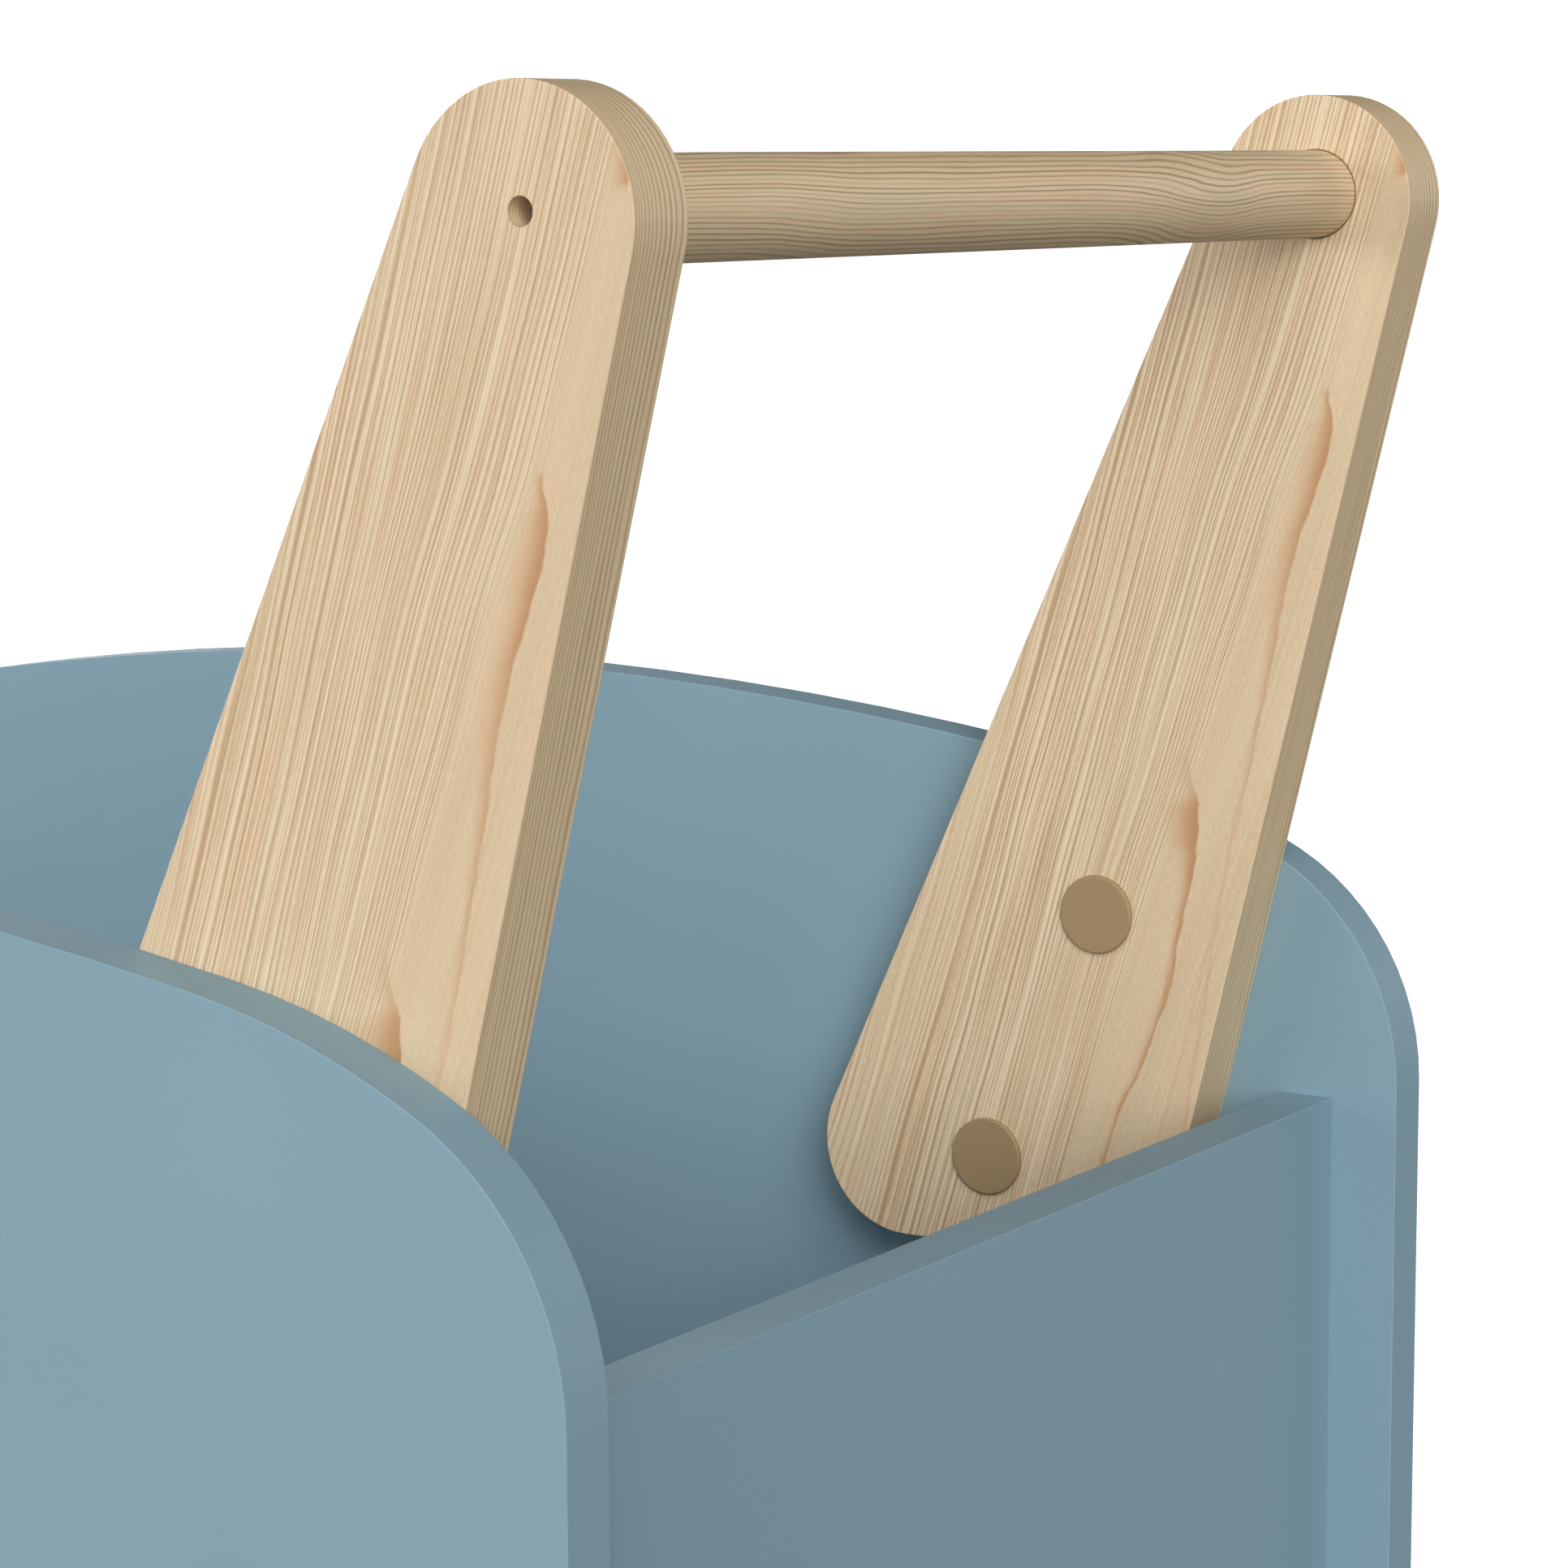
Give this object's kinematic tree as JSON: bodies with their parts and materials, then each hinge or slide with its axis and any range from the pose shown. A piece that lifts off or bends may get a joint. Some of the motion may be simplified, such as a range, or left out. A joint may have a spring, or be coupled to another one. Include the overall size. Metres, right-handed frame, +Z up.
{
  "type": "rolling storage cart",
  "caption": "Low open storage cart on swivel castors, with two pebble-shaped painted side panels and a leaning wooden push handle with a round bar.",
  "frame": {"origin": "on the floor, under the middle of the cart's bounding box", "axes": "+X along the cart towards the push handle, +Y across the cart from the front side panel to the rear one, +Z up"},
  "size_m": [0.6668, 0.428, 0.5903],
  "materials": {
    "painted_mdf": "smooth satin blue paint over fibreboard",
    "pine": "planed solid pine, clear matt lacquer",
    "pine_dowel": "turned pine dowel, clear matt lacquer",
    "beech": "plain beech dowels, unfinished",
    "brown_plastic": "moulded brown plastic, fine matt texture",
    "plated_steel": "bright zinc plating on pressed steel",
    "bearing_steel": "polished bearing balls",
    "zinc_alloy": "die-cast zinc, slightly dull",
    "wheel_plastic": "moulded light grey plastic",
    "tyre_rubber": "soft grey non-marking rubber"
  },
  "bodies": {
    "cart_body": {"front_side_panel": "painted_mdf", "rear_side_panel": "painted_mdf", "handle_end_board": "painted_mdf", "far_end_board": "painted_mdf", "base_board": "painted_mdf", "front_upright": "pine", "rear_upright": "pine", "handle_bar": "pine_dowel", "handle_bar_screws": "plated_steel", "upright_bolts": "plated_steel", "threaded_inserts": "zinc_alloy", "front_bolt_caps": "brown_plastic", "rear_bolt_caps": "brown_plastic", "cam_bolts": "plated_steel", "cam_locks": "zinc_alloy", "wooden_pegs": "beech", "castor_screws": "plated_steel", "handle_front_castor_plate": "plated_steel", "handle_front_castor_kingpin": "plated_steel", "handle_rear_castor_plate": "plated_steel", "handle_rear_castor_kingpin": "plated_steel", "far_front_castor_plate": "plated_steel", "far_front_castor_kingpin": "plated_steel", "far_rear_castor_plate": "plated_steel", "far_rear_castor_kingpin": "plated_steel"},
    "handle_front_fork_body": {"handle_front_castor_balls": "bearing_steel", "handle_front_castor_fork": "plated_steel", "handle_front_castor_axle_bolt": "plated_steel", "handle_front_castor_axle_nut": "plated_steel", "handle_front_castor_sleeve": "plated_steel"},
    "handle_front_wheel_body": {"handle_front_castor_wheel": "wheel_plastic", "handle_front_castor_tyre": "tyre_rubber"},
    "handle_rear_fork_body": {"handle_rear_castor_balls": "bearing_steel", "handle_rear_castor_fork": "plated_steel", "handle_rear_castor_axle_bolt": "plated_steel", "handle_rear_castor_axle_nut": "plated_steel", "handle_rear_castor_sleeve": "plated_steel"},
    "handle_rear_wheel_body": {"handle_rear_castor_wheel": "wheel_plastic", "handle_rear_castor_tyre": "tyre_rubber"},
    "far_front_fork_body": {"far_front_castor_balls": "bearing_steel", "far_front_castor_fork": "plated_steel", "far_front_castor_axle_bolt": "plated_steel", "far_front_castor_axle_nut": "plated_steel", "far_front_castor_sleeve": "plated_steel"},
    "far_front_wheel_body": {"far_front_castor_wheel": "wheel_plastic", "far_front_castor_tyre": "tyre_rubber"},
    "far_rear_fork_body": {"far_rear_castor_balls": "bearing_steel", "far_rear_castor_fork": "plated_steel", "far_rear_castor_axle_bolt": "plated_steel", "far_rear_castor_axle_nut": "plated_steel", "far_rear_castor_sleeve": "plated_steel"},
    "far_rear_wheel_body": {"far_rear_castor_wheel": "wheel_plastic", "far_rear_castor_tyre": "tyre_rubber"}
  },
  "joints": [
    {"name": "handle_front_swivel", "type": "hinge", "parent": "cart_body", "child": "handle_front_fork_body", "pos_m": [0.22565, -0.136, 0.07], "axis": [0, 0, 1], "continuous": true},
    {"name": "handle_front_roll", "type": "hinge", "parent": "handle_front_fork_body", "child": "handle_front_wheel_body", "pos_m": [0.24565, -0.136, 0.03], "axis": [0, 1, 0], "continuous": true},
    {"name": "handle_rear_swivel", "type": "hinge", "parent": "cart_body", "child": "handle_rear_fork_body", "pos_m": [0.22565, 0.136, 0.07], "axis": [0, 0, 1], "continuous": true},
    {"name": "handle_rear_roll", "type": "hinge", "parent": "handle_rear_fork_body", "child": "handle_rear_wheel_body", "pos_m": [0.24565, 0.136, 0.03], "axis": [0, 1, 0], "continuous": true},
    {"name": "far_front_swivel", "type": "hinge", "parent": "cart_body", "child": "far_front_fork_body", "pos_m": [-0.23435, -0.136, 0.07], "axis": [0, 0, 1], "continuous": true},
    {"name": "far_front_roll", "type": "hinge", "parent": "far_front_fork_body", "child": "far_front_wheel_body", "pos_m": [-0.21435, -0.136, 0.03], "axis": [0, 1, 0], "continuous": true},
    {"name": "far_rear_swivel", "type": "hinge", "parent": "cart_body", "child": "far_rear_fork_body", "pos_m": [-0.23435, 0.136, 0.07], "axis": [0, 0, 1], "continuous": true},
    {"name": "far_rear_roll", "type": "hinge", "parent": "far_rear_fork_body", "child": "far_rear_wheel_body", "pos_m": [-0.21435, 0.136, 0.03], "axis": [0, 1, 0], "continuous": true}
  ]
}
